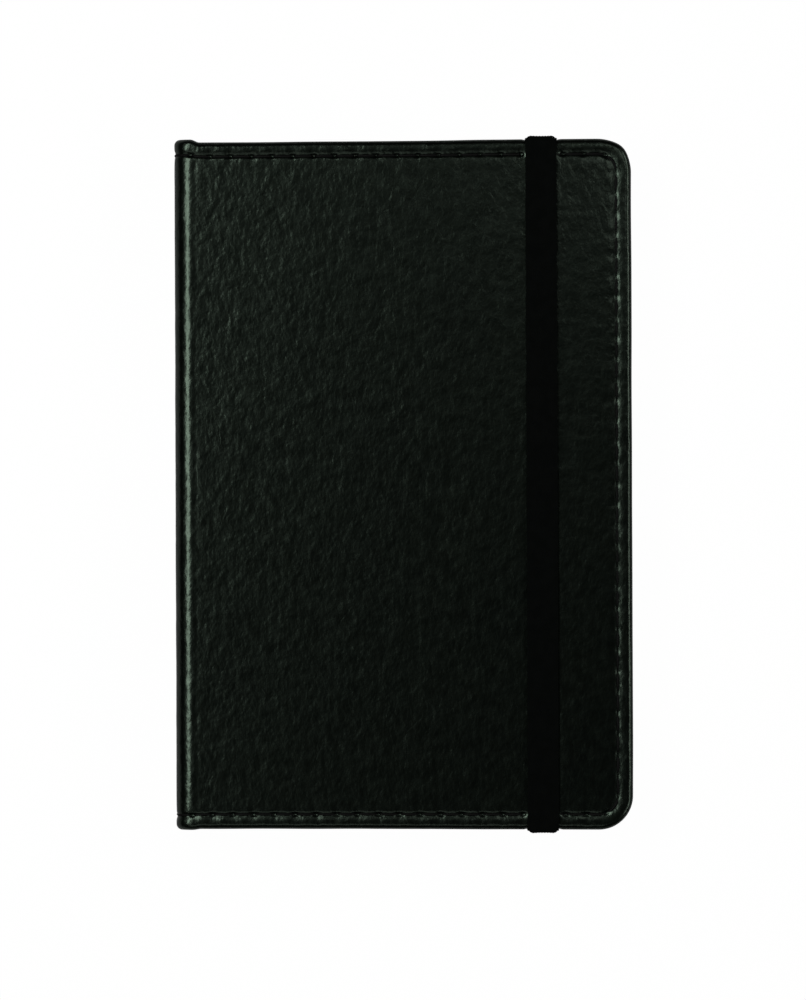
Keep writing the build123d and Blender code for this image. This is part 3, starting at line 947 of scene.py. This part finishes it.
def headband(name, node):
    """Cloth rolled over a cord, wound across in ridges."""
    low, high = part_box(node)
    middle = (low + high) / 2
    ends = 46
    around = 18
    squareness = 0.82  # 1 would be an ellipse, 0 a rectangle
    turn = np.linspace(0, 2 * math.pi, around, endpoint=False)
    half_x, half_y = (high.x - low.x) / 2 * 0.94, (high.y - low.y) / 2 * 0.94
    out_x = np.sign(np.cos(turn)) * np.abs(np.cos(turn)) ** squareness * half_x
    out_y = np.sign(np.sin(turn)) * np.abs(np.sin(turn)) ** squareness * half_y
    rings = []
    for z in np.linspace(low.z, high.z, ends):
        ridge = 1 + 0.05 * math.sin((z - low.z) / MM * 2 * math.pi / 0.55)
        ring = [middle.x + out_x * ridge, middle.y + out_y * ridge, np.full(around, z)]
        rings.append(np.column_stack(ring))
    points = np.concatenate(rings)
    piece = make_mesh(name, points, tube_faces(ends, around, 0), points)
    close_ends(piece)
    dress(piece, headband_cloth)
    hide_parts(node)
    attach(piece, "spine")


headband("head_band_cloth", "head_band")
headband("tail_band_cloth", "tail_band")

# ---- Build: elastic band ----

# Heights at which the band is cut, where it bends as it is pulled
PIVOT_LOW = 0.9 * MM
STRAP_SPLIT = straps_high.z
FRONT_SPLIT = 8.6 * MM

route = band_route()
total = len(route)


def route_cut(height):
    """Number of the first point of the head strap at or above a height."""
    on_strap = np.abs(route[:, 0] - run_high.y) < 1e-6
    return int(np.where(on_strap & (route[:, 1] >= height))[0][0])


cuts = [0, route_cut(PIVOT_LOW), route_cut(STRAP_SPLIT), route_cut(FRONT_SPLIT)]


def two_ends(name, first, last):
    """The head's and the tail's stretches of the band between two cuts, as one piece."""
    head = band_piece(name, first, last + 1)
    tail = band_piece(name + "_tail", total - 1 - last, total - first)
    bpy.ops.object.select_all(action="DESELECT")
    head.select_set(True)
    tail.select_set(True)
    bpy.context.view_layer.objects.active = head
    bpy.ops.object.join()
    return head


anchor_piece = two_ends("elastic_anchors", cuts[0], cuts[1])
dress(anchor_piece, elastic_black)
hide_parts("elastic_head_anchor", "elastic_tail_anchor")
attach(anchor_piece, "back_cover")

root_piece = two_ends("elastic_strap_roots", cuts[1], cuts[2])
dress(root_piece, elastic_black)
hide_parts("elastic_lower_straps")
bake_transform(root_piece)

strap_piece = two_ends("elastic_straps", cuts[2], cuts[3])
dress(strap_piece, elastic_black)
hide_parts("elastic_side_straps")
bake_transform(strap_piece)

front_piece = band_piece("elastic_front", cuts[3], total - cuts[3])
dress(front_piece, elastic_black)
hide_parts("elastic_front_run")
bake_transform(front_piece)

# ---- Stage, light and camera ----


def stage_material(name, strength, albedo):
    """An even pale surface that glows by itself, so that no shadow edge shows on it."""
    n = Nodes(name)
    n.material.cycles.emission_sampling = "NONE"
    return n.finish(Base_Color=(albedo, albedo, albedo, 1), Roughness=1.0, Specular_IOR_Level=0.0,
                    Emission_Color=(1, 1, 1, 1), Emission_Strength=strength)


def stage_floor():
    """A pale floor that runs far past the view."""
    half = 3.0
    corners = [(-half, -half, 0), (half, -half, 0), (half, half, 0), (-half, half, 0)]
    floor = make_mesh("floor", corners, [(0, 1, 2, 3)])
    floor.location.z = -0.2 * MM
    floor.data.materials.append(stage_material("pale_floor", 0.985, 0.02))
    floor.visible_glossy = False
    floor.visible_diffuse = False


def stage_dome():
    """A pale surround, seen only in low views."""
    bpy.ops.mesh.primitive_uv_sphere_add(segments=48, ring_count=24, radius=2.9)
    dome = bpy.context.object
    dome.name = "surround"
    dome.data.materials.append(stage_material("pale_surround", 0.93, 0.0))
    dome.visible_glossy = False
    dome.visible_diffuse = False
    dome.visible_shadow = False


def softbox(name, lean, azimuth, distance, length, width, power, colour=(1.0, 1.0, 1.0)):
    """A soft light aimed at the cover, leaning from straight up towards azimuth.

    Azimuth 0 is +X and 90 is +Y, in degrees as lean is; lengths in metres, power in watts.
    """
    lamp = bpy.data.lights.new(name, "AREA")
    lamp.color = colour
    lamp.shape = "RECTANGLE"
    lamp.size, lamp.size_y = length, width
    lamp.energy = power
    holder = bpy.data.objects.new(name, lamp)
    out, turn = math.radians(lean), math.radians(azimuth)
    away = Vector((math.sin(out) * math.cos(turn), math.sin(out) * math.sin(turn), math.cos(out)))
    holder.location = Vector((0, 0, THICKNESS)) + away * distance
    holder.rotation_euler = (-away).to_track_quat("-Z", "Y").to_euler()
    holder.visible_camera = False
    bpy.context.scene.collection.objects.link(holder)


def look_down_camera():
    """Straight down on the closed cover, a long lens, a hair off square."""
    view_height = 203.5 * MM
    distance = 1.4
    below_middle = 3.08 * MM
    lens = bpy.data.cameras.new("camera")
    lens.sensor_width = 36.0
    lens.lens = lens.sensor_width * distance / view_height
    lens.clip_start = 0.01
    lens.clip_end = 20
    camera = bpy.data.objects.new("camera", lens)
    camera.location = (-0.12 * MM, -below_middle, THICKNESS + distance)
    camera.rotation_euler = (0, 0, math.radians(-0.2))
    bpy.context.scene.collection.objects.link(camera)
    bpy.context.scene.camera = camera


def floor_glow(tree, above, below):
    """A dark room over a white floor: above the horizon and below it."""
    background = tree.nodes["Background"]
    background.inputs["Color"].default_value = (1.0, 1.0, 1.0, 1)
    way = tree.nodes.new("ShaderNodeTexCoord")
    split = tree.nodes.new("ShaderNodeSeparateXYZ")
    tree.links.new(way.outputs["Generated"], split.inputs[0])
    fade = tree.nodes.new("ShaderNodeMapRange")
    fade.interpolation_type = "SMOOTHSTEP"
    for name, value in (("From Min", -0.10), ("From Max", 0.12), ("To Min", below), ("To Max", above)):
        fade.inputs[name].default_value = value
    tree.links.new(split.outputs[2], fade.inputs["Value"])
    tree.links.new(fade.outputs["Result"], background.inputs["Strength"])


stage_floor()
stage_dome()

world = bpy.data.worlds.new("studio")
world.use_nodes = True
floor_glow(world.node_tree, above=0.010, below=0.32)
bpy.context.scene.world = world
bpy.context.scene.view_settings.view_transform = "Standard"

softbox("key_left", lean=30, azimuth=158, distance=0.56, length=0.45, width=0.16, power=1.65,
        colour=(0.96, 1.0, 0.98))
softbox("head_right", lean=30, azimuth=50, distance=0.34, length=0.1, width=0.1, power=0.05)
softbox("rim_right", lean=52, azimuth=0, distance=0.8, length=0.9, width=0.2, power=1.9)
softbox("tail_fill", lean=34, azimuth=255, distance=1.0, length=0.6, width=0.25, power=0.4)

look_down_camera()
